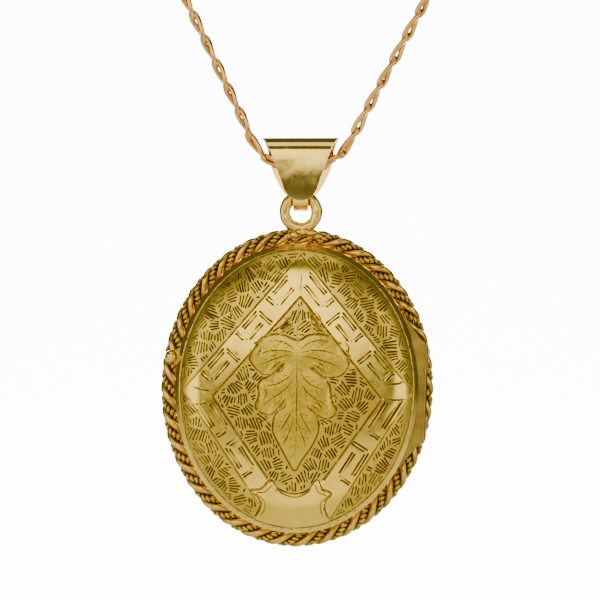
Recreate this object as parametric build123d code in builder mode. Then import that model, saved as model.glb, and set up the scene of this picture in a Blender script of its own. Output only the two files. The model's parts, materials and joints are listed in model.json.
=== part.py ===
"""An oval hinged locket with a rope border, a tapered bail and the lower part of its curb chain.

Millimetres. The locket hangs as it is worn: +Z is up, the engraved front faces -Y, and +X is on the right as
the front is looked at. The origin is the centre of the bail's fold, where the chain carries the locket.
The case is drawn upright about the middle of its oval, with the parting plane of its two halves at Y = 0, and
hang then places it where it hangs. Depths in either half are measured from the parting plane.
"""

import os
from math import acos, asin, cos, degrees, pi, radians, sin, sqrt, tan

from build123d import *

# ---- driving sizes ----------------------------------------------------------------------------------------

# the two cover shells
cover_half_width = 14.35
cover_half_height = 17.1
cover_wall = 1.0  # straight wall beside the parting plane
cover_sheet = 0.4
shoulder_radius = 5.0  # the curve between the wall and the crown
shoulder_slope = 60.0  # how steeply the shoulder leaves the wall, in degrees
crown_slope = 8.0  # the slope at which the shoulder passes into the crown, in degrees
parting_gap = 0.03  # each cover stops this far from the parting plane

# the rope border, soldered round the back half
rope_radius = 1.0
rope_gap = 0.11  # between the rope and the edge of the back cover's wall
rope_hinge_gap = 0.1  # between the rope and the depth of the hinge

# the hanging ring, its foot sunk into the rope's crown
ring_wire_radius = 0.65
ring_hole_radius = 1.22
ring_sink = 0.4
ring_forward = 0.75  # in front of the rope's middle
ring_left_of_middle = 0.27
hang_tilt = 2.0  # the hinge side is the heavier one, so the oval hangs this many degrees off plumb

# the snap lip that the lid closes over
lip_sheet = 0.45
lip_in_lid = 0.8
lip_in_back = 1.0
fit_gap = 0.07  # between the lip and each cover

# what lies in each half: a frame, a glass, a card and the seat behind them
frame_gap = 0.09  # between the lip's edge and the frame's face
seat_sheet = 0.25
seat_width = 1.5
card_thickness = 0.2
glass_thickness = 0.4
stack_gap = 0.02  # between pieces that lie on each other
dome_gap = 0.05  # between these pieces and the inside of the cover
frame_face = 0.5
frame_cover = 0.9  # how far the frame's face covers the edge of the glass
frame_skirt = 0.3
frame_bevel = 0.3
lid_rim_length = 0.38  # the rim inside the lid that grips its frame

# the hinge
knuckle_radius = 0.45
pin_radius = 0.22
pin_gap = 0.04  # between the pin and the lid's knuckles
pin_grip = 0.01  # between the pin and the back's knuckle
pin_head = 0.12  # how far each end of the pin stands out
hinge_gap = 0.06  # between parts of the hinge that pass each other
hinge_web = 0.12  # the least metal between a knuckle's recess and the cover
middle_knuckle = 4.4  # length
hinge_tube = 11.4  # length of the three knuckles together
hinge_leaf_length = 19.2  # from tip to tip of the crescent leaves
hinge_leaf_sheet = 0.5
leaf_gap = 0.05  # between each leaf and the parting plane
solder_gap = 0.01  # between pieces that are soldered together

# the thumb piece
bead_radius = 0.78
bead_out = 0.9  # from the cover's wall to the middle of the bead
bead_height = 3.2  # above the middle of the oval
bead_forward = 0.3
tab_half_root = 1.7
tab_half_tip = 0.45
tab_sheet = 0.45

# the bail: a front leaf, a fold, a back leaf and a narrow strap that turns through the ring
bail_sheet = 0.5
strap_half_width = 0.9
strap_gap = 0.06  # between the strap's turn and the ring's wire
strap_drop = 0.15  # how far the turn's centre is below the ring's wire
strap_lap = 1.2  # how far the strap's end lies up the inside of the front leaf
fold_half_width = 4.72
front_leaf_sides = [(3.9, 1.2), (3.3, -0.3), (2.6, -2.2), (1.9, -4.2)]  # half width and height
front_leaf_tip = -5.45
back_leaf_sides = [(4.15, 1.2), (3.7, -0.95), (2.75, -3.3), (1.85, -4.6)]
back_leaf_end = -5.4  # where the back leaf has narrowed to the strap
ring_below_fold = 6.76  # from the centre of the fold to the centre of the ring

# the chain, drawn as a tube through the middle of its links
chain_width = 1.3
level_half_length = 4.2  # half of the level run inside the bail
level_height = -1.4
left_arm_angle = 25.4  # from plumb, in degrees
right_arm_angle = 28.3
arm_rise = 21.0  # from the level run to the chain's cut ends
end_ring_radius = 1.1  # to the middle of its wire
end_ring_wire_radius = 0.3
end_link = 0.5  # from the chain's end to the wire of the ring in its last link
end_link_gap = 0.02

# ---- sizes that follow ------------------------------------------------------------------------------------

oval_ratio = cover_half_height / cover_half_width
slope = radians(crown_slope)
shoulder_x = cover_half_width - shoulder_radius * sin(radians(shoulder_slope))
shoulder_y = cover_wall - shoulder_radius * cos(radians(shoulder_slope))
crown_radius = shoulder_x / sin(slope) + shoulder_radius
crown_y = shoulder_y - (crown_radius - shoulder_radius) * cos(slope)

ring_radius = ring_hole_radius + ring_wire_radius
hinge_x = cover_half_width + hinge_web + hinge_gap + knuckle_radius
half_middle = middle_knuckle / 2
half_tube = hinge_tube / 2

rope_behind = max(knuckle_radius + hinge_gap, leaf_gap + hinge_leaf_sheet) + rope_hinge_gap + rope_radius
rope_out = sqrt((rope_radius + rope_gap) ** 2 - max(0, rope_behind - cover_wall) ** 2)
rope_half_width = cover_half_width + rope_out  # to the middle of the rope
rope_half_height = cover_half_height + rope_out

ring_rise = sqrt((rope_radius + ring_wire_radius - ring_sink) ** 2 - ring_forward**2)
ring_above_middle = rope_half_height + ring_rise + ring_radius
ring_behind = rope_behind - ring_forward

# how far the ring's wire reaches under the strap's edges, from the middle of its top
wire_reach = ring_radius - sqrt(ring_hole_radius**2 - strap_half_width**2)
turn_middle = wire_reach + strap_gap + bail_sheet / 2
fold_middle = turn_middle + bail_sheet
fold_radius = fold_middle + bail_sheet / 2
turn_z = ring_radius - ring_below_fold - strap_drop


def inside_width(depth):
    """Half the width of the space inside a cover at a depth."""
    curve = (shoulder_radius - cover_sheet) ** 2 - (depth - shoulder_y) ** 2
    return min(cover_half_width - cover_sheet, shoulder_x + sqrt(curve))


frame_front = lip_in_lid + frame_gap
frame_back = frame_front + frame_face
glass_depth = frame_back + stack_gap
card_depth = glass_depth + glass_thickness + stack_gap
seat_depth = card_depth + card_thickness + stack_gap
pane_half_width = inside_width(seat_depth) - dome_gap
frame_outside = inside_width(frame_back + frame_skirt) - dome_gap
lip_outside = cover_half_width - cover_sheet - fit_gap

# ---- shapes that both halves share ------------------------------------------------------------------------

back = 1
lid = -1


def half_plane(half):
    """X across the oval and Y into the depth of one half."""
    return Plane(origin=(0, 0, 0), x_dir=(1, 0, 0), z_dir=(0, 0, half))


def depth_plane(half, depth):
    """Parallel to the parting plane and facing into the depth of one half."""
    return Plane(origin=(0, half * depth, 0), x_dir=(-half, 0, 0), z_dir=(0, half, 0))


def dome_line(inset):
    """Half of a cover's profile, moved in by inset. It returns the middle of the crown."""
    wall_x = cover_half_width - inset
    shoulder = shoulder_radius - inset
    crown = crown_radius - inset
    wall_angle = degrees(acos((wall_x - shoulder_x) / shoulder))
    wall_end = (wall_x, shoulder_y + shoulder * sin(radians(wall_angle)))
    Line((wall_x, parting_gap), wall_end)
    CenterArc((shoulder_x, shoulder_y), shoulder, wall_angle, 90 - crown_slope - wall_angle)
    CenterArc((0, crown_y), crown, 90 - crown_slope, crown_slope)
    return (0, crown_y + crown)


def domed_cover(half):
    with BuildPart() as cover:
        with BuildSketch(half_plane(half)):
            with BuildLine():
                outside_top = dome_line(0)
                inside_top = dome_line(cover_sheet)
                Line(outside_top, inside_top)
                Line((cover_half_width - cover_sheet, parting_gap), (cover_half_width, parting_gap))
            make_face()
        revolve(axis=Axis.Y)
        scale(by=(1, 1, oval_ratio))
    return cover


def oval_ring(half, outside, inside, depth, thickness):
    """A flat oval ring in one half, given half its outer and inner widths."""
    with BuildPart() as ring:
        with BuildSketch(depth_plane(half, depth)):
            Ellipse(outside, outside * oval_ratio)
            Ellipse(inside, inside * oval_ratio, mode=Mode.SUBTRACT)
        extrude(amount=thickness)
    return ring


def oval_pane(half, half_width, depth, thickness):
    with BuildPart() as pane:
        with BuildSketch(depth_plane(half, depth)):
            Ellipse(half_width, half_width * oval_ratio)
        extrude(amount=thickness)
    return pane


def seat(half):
    outside = inside_width(seat_depth + seat_sheet) - dome_gap
    return oval_ring(half, outside, outside - seat_width, seat_depth, seat_sheet)


def picture_frame(half):
    """A bevelled face over the edge of the glass, with a skirt round it."""
    opening = pane_half_width - frame_cover
    skirt_inside = pane_half_width + stack_gap
    with BuildPart() as frame:
        with BuildSketch(depth_plane(half, frame_front)):
            Ellipse(frame_outside, frame_outside * oval_ratio)
            Ellipse(opening, opening * oval_ratio, mode=Mode.SUBTRACT)
        extrude(amount=frame_face)
        front_face = frame.faces().sort_by(Axis((0, 0, 0), (0, half, 0)))[0]
        chamfer(front_face.inner_wires().edges(), frame_bevel)
        with BuildSketch(depth_plane(half, frame_back)):
            Ellipse(frame_outside, frame_outside * oval_ratio)
            Ellipse(skirt_inside, skirt_inside * oval_ratio, mode=Mode.SUBTRACT)
        extrude(amount=frame_skirt)
    return frame


def hinge_length(bottom, top, radius, mode=Mode.ADD):
    """A round bar along the hinge's axis, between two heights."""
    with BuildSketch(Plane.XY.offset(bottom)) as section:
        with Locations((hinge_x, 0)):
            Circle(radius)
    extrude(section.sketch, amount=top - bottom, mode=mode)


def hinge_leaf(half, knuckles, bore, recesses):
    """A crescent between the cover's wall and the hinge, with its knuckles and the other half's recesses."""
    tip_z = hinge_leaf_length / 2
    tip_x = cover_half_width * sqrt(1 - (tip_z / cover_half_height) ** 2)
    tube_x = half * -hinge_x
    wall = cover_half_width + solder_gap
    with BuildPart() as leaf:
        with BuildSketch(depth_plane(half, leaf_gap)):
            Polygon(
                (tube_x, half_tube),
                (half * -tip_x, tip_z),
                (half * -tip_x, -tip_z),
                (tube_x, -half_tube),
                align=None,
            )
            Ellipse(wall, wall * oval_ratio, mode=Mode.SUBTRACT)
        extrude(amount=hinge_leaf_sheet)
        for bottom, top in recesses:
            hinge_length(bottom, top, knuckle_radius + hinge_gap, Mode.SUBTRACT)
        for bottom, top in knuckles:
            hinge_length(bottom, top, knuckle_radius)
        hinge_length(-half_tube - pin_head - hinge_gap, half_tube + pin_head + hinge_gap, bore, Mode.SUBTRACT)
    return leaf


# ---- the case: its back half ------------------------------------------------------------------------------

back_cover = domed_cover(back)

snap_lip = oval_ring(back, lip_outside, lip_outside - lip_sheet, -lip_in_lid, lip_in_lid + lip_in_back)
back_seat = seat(back)
back_card = oval_pane(back, pane_half_width, card_depth, card_thickness)
back_glass = oval_pane(back, pane_half_width, glass_depth, glass_thickness)
back_frame = picture_frame(back)

outer_knuckles = [(half_middle + hinge_gap, half_tube), (-half_tube, -half_middle - hinge_gap)]
outer_recesses = [(half_middle, half_tube + hinge_gap), (-half_tube - hinge_gap, -half_middle)]
back_hinge_leaf = hinge_leaf(back, [(-half_middle, half_middle)], pin_radius + pin_grip, outer_recesses)

with BuildPart() as hinge_pin:
    hinge_length(-half_tube - pin_head, half_tube + pin_head, pin_radius)
    fillet(hinge_pin.edges().filter_by(GeomType.CIRCLE), pin_head / 2)


def rope_sweep(radius, mode=Mode.ADD):
    """A round bar along the middle of the rope."""
    with BuildLine(depth_plane(back, rope_behind)) as route:
        EllipticalCenterArc((0, 0), rope_half_width, rope_half_height, start_angle=0, arc_size=360)
    with BuildSketch(Plane(origin=route.line @ 0, z_dir=route.line % 0)) as section:
        Circle(radius)
    sweep(section.sketch, path=route.line, mode=mode)


with BuildPart() as rope_border:
    rope_sweep(rope_radius)

with BuildPart() as hanging_ring:
    with BuildSketch(Plane.XY.offset(ring_above_middle)):
        with Locations((ring_radius - ring_left_of_middle, ring_behind)):
            Circle(ring_wire_radius)
    revolve(axis=Axis((-ring_left_of_middle, ring_behind, ring_above_middle), (0, 1, 0)))
    rope_sweep(rope_radius + solder_gap, Mode.SUBTRACT)

# ---- the case: its lid ------------------------------------------------------------------------------------

front_cover = domed_cover(lid)
lid_seat = seat(lid)
lid_card = oval_pane(lid, pane_half_width, card_depth, card_thickness)
lid_glass = oval_pane(lid, pane_half_width, glass_depth, glass_thickness)
lid_frame = picture_frame(lid)

rim_depth = lip_in_lid + fit_gap
rim_outside = inside_width(rim_depth + lid_rim_length) - solder_gap
lid_rim = oval_ring(lid, rim_outside, frame_outside + stack_gap, rim_depth, lid_rim_length)

middle_recess = [(-half_middle - hinge_gap, half_middle + hinge_gap)]
lid_hinge_leaf = hinge_leaf(lid, outer_knuckles, pin_radius + pin_gap, middle_recess)

bead_x = -bead_out - cover_half_width * sqrt(1 - (bead_height / cover_half_height) ** 2)
bead_place = (bead_x, -bead_forward, bead_height)

with BuildPart() as thumb_bead:
    with Locations(bead_place):
        Sphere(bead_radius)

with BuildPart() as thumb_tab:
    with BuildSketch(depth_plane(lid, leaf_gap)):
        Polygon(
            (bead_x, bead_height + tab_half_tip),
            (bead_x, bead_height - tab_half_tip),
            (bead_x + 2 * bead_out, bead_height - tab_half_root),
            (bead_x + 2 * bead_out, bead_height + tab_half_root),
            align=None,
        )
        wall = cover_half_width + solder_gap
        Ellipse(wall, wall * oval_ratio, mode=Mode.SUBTRACT)
    extrude(amount=tab_sheet)
    with Locations(bead_place):
        Sphere(bead_radius + solder_gap, mode=Mode.SUBTRACT)

# ---- the bail ---------------------------------------------------------------------------------------------

lean = degrees(asin((fold_middle - turn_middle) / -turn_z))  # how much the back leaf leans in


def leaf_outline(sides):
    """The flared edge of a leaf on both sides of the middle, from the top of the fold down."""
    edge = Spline((fold_half_width, fold_radius), *sides)
    mirror(edge, about=Plane.YZ)
    Line((fold_half_width, fold_radius), (-fold_half_width, fold_radius))


with BuildPart() as front_leaf:
    with BuildSketch(Plane.YZ):
        with BuildLine():
            CenterArc((0, 0), fold_middle, 90, 90)
            Line((-fold_middle, 0), (-fold_middle, front_leaf_tip))
        trace(line_width=bail_sheet)
    extrude(amount=fold_half_width, both=True)
    with BuildSketch(Plane.XZ):
        with BuildLine():
            leaf_outline(front_leaf_sides)
            tip_x, tip_z = front_leaf_sides[-1]
            ThreePointArc((tip_x, tip_z), (0, front_leaf_tip), (-tip_x, tip_z))
        make_face()
    extrude(amount=fold_radius, both=True, mode=Mode.INTERSECT)

with BuildPart() as back_leaf:
    with BuildSketch(Plane.YZ):
        with BuildLine():
            CenterArc((0, 0), fold_middle, -lean, 90 + lean)
            leaf_line = Line(
                (fold_middle * cos(radians(lean)), -fold_middle * sin(radians(lean))),
                (turn_middle * cos(radians(lean)), turn_z - turn_middle * sin(radians(lean))),
            )
            CenterArc((0, turn_z), turn_middle, -90, 90 - lean)
        trace(line_width=bail_sheet)
    extrude(amount=fold_half_width, both=True)
    with BuildSketch(Plane.XZ):
        with BuildLine():
            leaf_outline(back_leaf_sides + [(strap_half_width, back_leaf_end)])
            strap_end = turn_z - turn_middle - bail_sheet
            strap = Line((strap_half_width, back_leaf_end), (strap_half_width, strap_end))
            mirror(strap, about=Plane.YZ)
            Line((strap_half_width, strap_end), (-strap_half_width, strap_end))
        make_face()
    extrude(amount=fold_radius, both=True, mode=Mode.INTERSECT)

with BuildPart() as bail:
    with BuildSketch(Plane.YZ):
        with BuildLine():
            CenterArc((0, turn_z), turn_middle, 180, 90)
            Line((-turn_middle, turn_z), (-turn_middle, turn_z + strap_lap))
        trace(line_width=bail_sheet)
    extrude(amount=strap_half_width, both=True)
    add(front_leaf)
    add(back_leaf)

# ---- the chain --------------------------------------------------------------------------------------------


def arm_end(side, angle):
    """The cut end of one arm of the chain. side is -1 on the left."""
    return (side * (level_half_length + arm_rise * tan(radians(angle))), level_height + arm_rise)


chain_route = [
    arm_end(-1, left_arm_angle),
    (-level_half_length, level_height),
    (level_half_length, level_height),
    arm_end(1, right_arm_angle),
]
bend_radii = [
    0.9 * level_half_length / tan(radians((90 - angle) / 2)) for angle in (left_arm_angle, right_arm_angle)
]


def end_ring_plane(side, angle):
    """Through the middle of an end ring, across its hole."""
    a = radians(angle)
    end_x, end_z = arm_end(side, angle)
    along = (side * sin(a), 0, cos(a))
    out = end_ring_radius - end_link
    middle = (end_x + out * along[0], 0, end_z + out * along[2])
    return Plane(origin=middle, x_dir=along, z_dir=(cos(a), 0, -side * sin(a)))


def end_ring(plane, wire_radius, mode=Mode.ADD):
    with BuildSketch(Plane(origin=plane.origin, x_dir=plane.x_dir, z_dir=plane.y_dir)) as section:
        with Locations((-end_ring_radius, 0)):
            Circle(wire_radius)
    revolve(section.sketch, axis=Axis(plane.origin, plane.z_dir), mode=mode)


left_ring_plane = end_ring_plane(-1, left_arm_angle)
right_ring_plane = end_ring_plane(1, right_arm_angle)

with BuildPart() as necklace_chain:
    with BuildLine(Plane.XZ) as chain_line:
        FilletPolyline(*chain_route, radius=bend_radii)
    with BuildSketch(Plane(origin=chain_line.line @ 0, z_dir=chain_line.line % 0)):
        Circle(chain_width / 2)
    sweep()
    chain_volume = necklace_chain.part.volume
    end_ring(left_ring_plane, end_ring_wire_radius + end_link_gap, Mode.SUBTRACT)
    end_ring(right_ring_plane, end_ring_wire_radius + end_link_gap, Mode.SUBTRACT)

with BuildPart() as chain_end_ring_left:
    end_ring(left_ring_plane, end_ring_wire_radius)

with BuildPart() as chain_end_ring_right:
    end_ring(right_ring_plane, end_ring_wire_radius)

chain_length = chain_line.wires()[0].length
section_by_length = pi * (chain_width / 2) ** 2 * chain_length
print("chain length", round(chain_length, 2), "bend radii", [round(radius, 2) for radius in bend_radii])
print("chain volume", round(chain_volume, 3), "section by length", round(section_by_length, 3))

# ---- write ------------------------------------------------------------------------------------------------

# from the middle of the upright oval to where the case hangs
hang = (
    Location((0, 0, -ring_below_fold))
    * Location((0, 0, 0), (0, hang_tilt, 0))
    * Location((ring_left_of_middle, -ring_behind, -ring_above_middle))
)

case_pieces = {
    "back_cover": back_cover,
    "snap_lip": snap_lip,
    "back_seat": back_seat,
    "back_card": back_card,
    "back_glass": back_glass,
    "back_frame": back_frame,
    "back_hinge_leaf": back_hinge_leaf,
    "hinge_pin": hinge_pin,
    "rope_border": rope_border,
    "hanging_ring": hanging_ring,
    "front_cover": front_cover,
    "lid_rim": lid_rim,
    "lid_seat": lid_seat,
    "lid_card": lid_card,
    "lid_glass": lid_glass,
    "lid_frame": lid_frame,
    "lid_hinge_leaf": lid_hinge_leaf,
    "thumb_tab": thumb_tab,
    "thumb_bead": thumb_bead,
}
hung_pieces = {
    "bail": bail,
    "necklace_chain": necklace_chain,
    "chain_end_ring_left": chain_end_ring_left,
    "chain_end_ring_right": chain_end_ring_right,
}

os.makedirs("parts", exist_ok=True)
for name, piece in case_pieces.items():
    piece.part.locate(hang)
for name, piece in (case_pieces | hung_pieces).items():
    piece.part.label = name
    export_step(piece.part, f"parts/{name}.step")
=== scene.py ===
"""An oval gold locket with an engraved lid, hung on a rose-gold curb chain."""

import json
import math
import random

import bpy
import numpy as np
from mathutils import Matrix, Vector
from mathutils.geometry import delaunay_2d_cdt


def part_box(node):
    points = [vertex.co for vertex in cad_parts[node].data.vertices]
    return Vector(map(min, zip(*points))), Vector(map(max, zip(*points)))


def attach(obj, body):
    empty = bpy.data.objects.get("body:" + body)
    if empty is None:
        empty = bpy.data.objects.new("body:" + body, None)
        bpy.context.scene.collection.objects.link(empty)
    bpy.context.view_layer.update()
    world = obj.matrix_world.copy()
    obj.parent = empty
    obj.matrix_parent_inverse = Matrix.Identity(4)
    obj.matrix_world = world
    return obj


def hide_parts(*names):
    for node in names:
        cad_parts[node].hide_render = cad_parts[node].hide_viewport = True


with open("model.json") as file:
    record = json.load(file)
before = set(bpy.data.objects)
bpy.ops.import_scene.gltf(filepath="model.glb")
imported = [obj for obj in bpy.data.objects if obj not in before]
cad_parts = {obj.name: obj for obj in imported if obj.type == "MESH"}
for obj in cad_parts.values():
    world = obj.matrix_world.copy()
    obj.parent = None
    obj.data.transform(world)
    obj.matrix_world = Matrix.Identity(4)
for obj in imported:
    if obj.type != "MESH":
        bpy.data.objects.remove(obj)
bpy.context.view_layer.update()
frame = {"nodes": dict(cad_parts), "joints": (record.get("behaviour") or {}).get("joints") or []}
bpy.ops.object.select_all(action="DESELECT")
nodes = frame["nodes"]
joints = {joint["name"]: joint for joint in frame["joints"]}
mm = 0.001
rng = random.Random(7)


# ---- camera -----------------------------------------------------------------------------------------------

view_width = 71.3 * mm  # how much the camera takes in at the locket
view_centre = Vector((-0.1 * mm, 0, -17.2 * mm))
camera_distance = 300 * mm
camera_turn = math.radians(1.5)
film_width = 36
camera_place = view_centre + camera_distance * Vector((math.sin(camera_turn), -math.cos(camera_turn), 0))
bpy.ops.object.camera_add(location=camera_place, rotation=(math.pi / 2, 0, camera_turn))
camera = bpy.context.object
camera.data.sensor_width = film_width
camera.data.lens = film_width * camera_distance / view_width
camera.data.clip_start = 0.01
bpy.context.scene.camera = camera


# ---- mesh helpers -----------------------------------------------------------------------------------------


def mesh_piece(name, points, faces, painted_shade=None):
    """A new piece from points in metres, where they are on the locket. painted_shade darkens a point from 0
    to 1 as painted shade.
    """
    mesh = bpy.data.meshes.new(name)
    mesh.from_pydata([tuple(p) for p in points], [], faces)
    if painted_shade is not None:
        # painted shade, kept as a point attribute for the material
        layer = mesh.attributes.new("painted_shade", "FLOAT", "POINT")
        layer.data.foreach_set("value", np.asarray(painted_shade, dtype=np.float32))
    mesh.update()
    piece = bpy.data.objects.new(name, mesh)
    bpy.context.collection.objects.link(piece)
    return piece


def smooth(piece, angle):
    """Shades a piece smooth, apart from edges that turn by more than an angle in degrees."""
    bpy.ops.object.select_all(action="DESELECT")
    piece.select_set(True)
    bpy.context.view_layer.objects.active = piece
    bpy.ops.object.shade_smooth_by_angle(angle=math.radians(angle))
    piece.select_set(False)


def tube(line, radius, sides, closed, across):
    """Points and faces of a wire along a line. across gives directions that aren't along the line."""
    line = np.asarray(line, float)
    ahead = np.roll(line, -1, axis=0) - np.roll(line, 1, axis=0)
    if not closed:
        ahead[0] = line[1] - line[0]
        ahead[-1] = line[-1] - line[-2]
    ahead /= np.linalg.norm(ahead, axis=1)[:, None]
    across = np.asarray(across, float)
    across = across - (across * ahead).sum(axis=1)[:, None] * ahead
    across /= np.linalg.norm(across, axis=1)[:, None]
    up = np.cross(ahead, across)
    turn = np.linspace(0, 2 * math.pi, sides, endpoint=False)
    rings = (
        line[:, None]
        + radius * np.cos(turn)[None, :, None] * across[:, None]
        + radius * np.sin(turn)[None, :, None] * up[:, None]
    )
    count = len(line)
    faces = []
    for i in range(count if closed else count - 1):
        j = (i + 1) % count
        for k in range(sides):
            n = (k + 1) % sides
            faces.append((i * sides + k, i * sides + n, j * sides + n, j * sides + k))
    if not closed:
        faces.append(tuple(range(sides - 1, -1, -1)))
        faces.append(tuple((count - 1) * sides + k for k in range(sides)))
    return rings.reshape(-1, 3), faces


def joined(parts):
    """One list of points and faces from several."""
    points, faces = [], []
    for part_points, part_faces in parts:
        start = sum(len(p) for p in points)
        points.append(np.asarray(part_points))
        faces += [tuple(start + i for i in face) for face in part_faces]
    return np.concatenate(points), faces


# ---- the curb chain ---------------------------------------------------------------------------------------

chain_route = [  # millimetres in the shared frame
    (-14.171, 0, 19.6),
    (-7.55, 0, 5.65),
    (-4.2, 0, -1.4),
    (4.2, 0, -1.4),
    (7.9, 0, 5.47),
    (15.507, 0, 19.6),
]
link_pitch = 3.17 * mm
link_wire = 0.64 * mm
link_width = 1.68 * mm
link_slack = 0.04 * mm  # play between a link's ends and the next links
link_fullness = 0.85  # under 1, the ends of a link are blunter than an oval's
link_twist = math.radians(90)  # how far one end of a link is turned from its other end
link_start = math.radians(20)
loose_roll = 6  # degrees that a link may lie off the others
fold_reach = 6 * mm
fold_squeeze = 0.82  # the links in the bail's fold are narrower, to clear it as it swings


def route_points(route):
    """Points along the chain's smooth line, in metres."""
    curve = bpy.data.curves.new("chain_route", "CURVE")
    curve.dimensions = "3D"
    curve.resolution_u = 40
    spline = curve.splines.new("NURBS")
    spline.points.add(len(route) - 1)
    for point, place in zip(spline.points, route):
        point.co = (*(Vector(place) * mm), 1)
    spline.order_u = 3
    spline.use_endpoint_u = True
    holder = bpy.data.objects.new("chain_route", curve)
    mesh = bpy.data.meshes.new_from_object(holder)
    points = np.array([v.co for v in mesh.vertices])
    bpy.data.objects.remove(holder)
    bpy.data.meshes.remove(mesh)
    return points


def curb_link():
    """The middle line of one link along X, a long loop that is twisted about X."""
    turn = np.linspace(0, 2 * math.pi, 40, endpoint=False)
    half_length = (link_pitch + link_wire + link_slack) / 2
    half_width = (link_width - link_wire) / 2
    along = half_length * np.sign(np.cos(turn)) * np.abs(np.cos(turn)) ** link_fullness
    across = half_width * np.sin(turn)
    twist = link_start + link_twist * (along / half_length + 1) / 2
    return np.stack([along, -across * np.sin(twist), across * np.cos(twist)], axis=1)


chain_line = route_points(chain_route)
steps = np.linalg.norm(np.diff(chain_line, axis=0), axis=1)
chain_marks = np.concatenate([[0], np.cumsum(steps)])
chain_length = chain_marks[-1]
link_count = round(chain_length / link_pitch)
link_line = curb_link()
links = []
for i in range(link_count):
    mark = (i + 0.5) * chain_length / link_count
    middle, before, after = (
        np.array([np.interp(mark + shift, chain_marks, chain_line[:, axis]) for axis in range(3)])
        for shift in (0, -0.2 * mm, 0.2 * mm)
    )
    along = (after - before) / np.linalg.norm(after - before)
    roll = math.radians(rng.uniform(-loose_roll, loose_roll))
    flat = np.array([0, 1, 0])
    side = np.cross(along, flat)
    depth = flat * math.cos(roll) + side * math.sin(roll)
    side = np.cross(along, depth)
    turned = np.stack([along, depth, side])
    squeeze = fold_squeeze if abs(middle[0]) < fold_reach else 1.0
    line = middle + (link_line * (1, squeeze, squeeze)) @ turned
    links.append(tube(line, link_wire / 2, 12, True, line - middle + depth * 1e-5))
curb_chain = mesh_piece("curb_chain", *joined(links))
smooth(curb_chain, 60)
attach(curb_chain, "chain")
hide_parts("necklace_chain")


# ---- where the case is ------------------------------------------------------------------------------------

hinge_axis = Vector(joints["lid_hinge"]["axis"])
tilt = math.atan2(hinge_axis.x, hinge_axis.z)
cover_low, cover_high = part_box("front_cover")
case_middle = (cover_low + cover_high) / 2
case_middle.y = joints["lid_hinge"]["pos_m"][1]
case_place = Matrix.Translation(case_middle) @ Matrix.Rotation(tilt, 4, "Y")
turn_to_case = np.array(case_place.to_3x3())
front, rear = -1, 1  # the way that each cover bulges along Y


def to_case(points):
    """From millimetres across, behind and above the middle of the oval to metres where it hangs."""
    return np.asarray(points) * mm @ turn_to_case.T + np.array(case_middle)


# ---- the covers' dome, in millimetres: an upright wall, a round shoulder and a nearly flat crown -----------

half_width, half_height = 14.35, 17.1
oval_ratio = half_height / half_width
wall, sheet, parting_gap = 1.0, 0.4, 0.03
shoulder = 5.0
shoulder_slope = math.radians(60)
crown_slope = math.radians(8)
shoulder_x = half_width - shoulder * math.sin(shoulder_slope)
shoulder_y = wall - shoulder * math.cos(shoulder_slope)
crown = shoulder_x / math.sin(crown_slope) + shoulder
crown_y = shoulder_y - (crown - shoulder) * math.cos(crown_slope)


def oval_reach(x, z):
    """How far out a point is, as the half width of the oval of the cover's shape that goes through it."""
    return np.hypot(x, np.asarray(z) / oval_ratio)


def dome_depth(reach, inset=0.0):
    """How deep the cover is at a reach from the middle, where its rim has a reach of half_width."""
    reach = np.asarray(reach, float)
    on_crown = reach < (crown - inset) * math.sin(crown_slope)
    crown_depth = crown_y + np.sqrt((crown - inset) ** 2 - np.where(on_crown, reach, 0) ** 2)
    off = np.clip(reach - shoulder_x, 0, shoulder - inset)
    return np.where(on_crown, crown_depth, shoulder_y + np.sqrt((shoulder - inset) ** 2 - off**2))


def dome_normal(x, z):
    """Which way the dome faces at points in from its middle line."""
    step = 0.01
    reach = oval_reach(x, z)
    fall = (dome_depth(reach + step) - dome_depth(np.maximum(reach - step, 0))) / (2 * step)
    safe = np.maximum(reach, 1e-6)
    normal = np.stack([-fall * x / safe, np.ones_like(safe), -fall * z / safe / oval_ratio**2], axis=1)
    return normal / np.linalg.norm(normal, axis=1)[:, None]


# ---- the lid's drawing, in millimetres from the middle of the oval ----------------------------------------

rim_reach = 13.75  # the ground ends at a cut line here
band_outside = [(0, 15.7), (-13.25, -0.55), (-2.6, -15.5), (4.3, -15.5), (13.65, 0.13)]
band_inside = [(0.15, 10.8), (-9.7, -1.2), (-1.45, -12.6), (2.2, -12.6), (10.05, -0.85)]
leaf_knots = [
    (0.1, 5.7), (1.2, 6.3), (2.6, 6.5), (4.2, 6.1), (4.9, 5.1), (6.0, 3.7), (5.7, 2.4), (4.8, 1.7),
    (3.2, 1.7), (1.6, 2.6), (3.3, 1.3), (4.0, 0.3), (4.0, -0.8), (4.8, -2.3), (4.2, -3.1), (3.0, -3.1),
    (1.4, -1.9), (2.4, -3.0), (2.8, -4.0), (2.6, -5.3), (1.9, -6.8), (0.9, -8.3), (0.2, -9.5),
    (-0.6, -8.4), (-1.6, -6.7), (-2.4, -5.2), (-2.5, -3.9), (-2.1, -2.9), (-1.2, -1.2), (-2.4, -2.7),
    (-3.5, -3.0), (-4.6, -2.3), (-4.3, -0.8), (-4.4, 0.3), (-3.9, 1.1), (-2.8, 1.5), (-1.5, 2.9),
    (-2.6, 1.8), (-3.9, 1.7), (-4.9, 2.5), (-5.5, 3.5), (-4.8, 4.8), (-4.2, 5.8), (-2.8, 6.3), (-1.3, 6.1),
]
plate_knots = [
    (-5.2, -16.6), (-4.1, -15.0), (-3.6, -13.7), (-4.0, -12.7), (-4.8, -12.0), (-3.6, -11.8), (-2.6, -10.8),
    (-1.7, -11.8), (0.2, -12.4), (1.9, -11.8), (2.8, -10.6), (3.4, -11.6), (4.5, -12.1), (3.8, -13.0),
    (3.8, -14.1), (4.5, -15.4), (5.8, -16.7),
]
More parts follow.
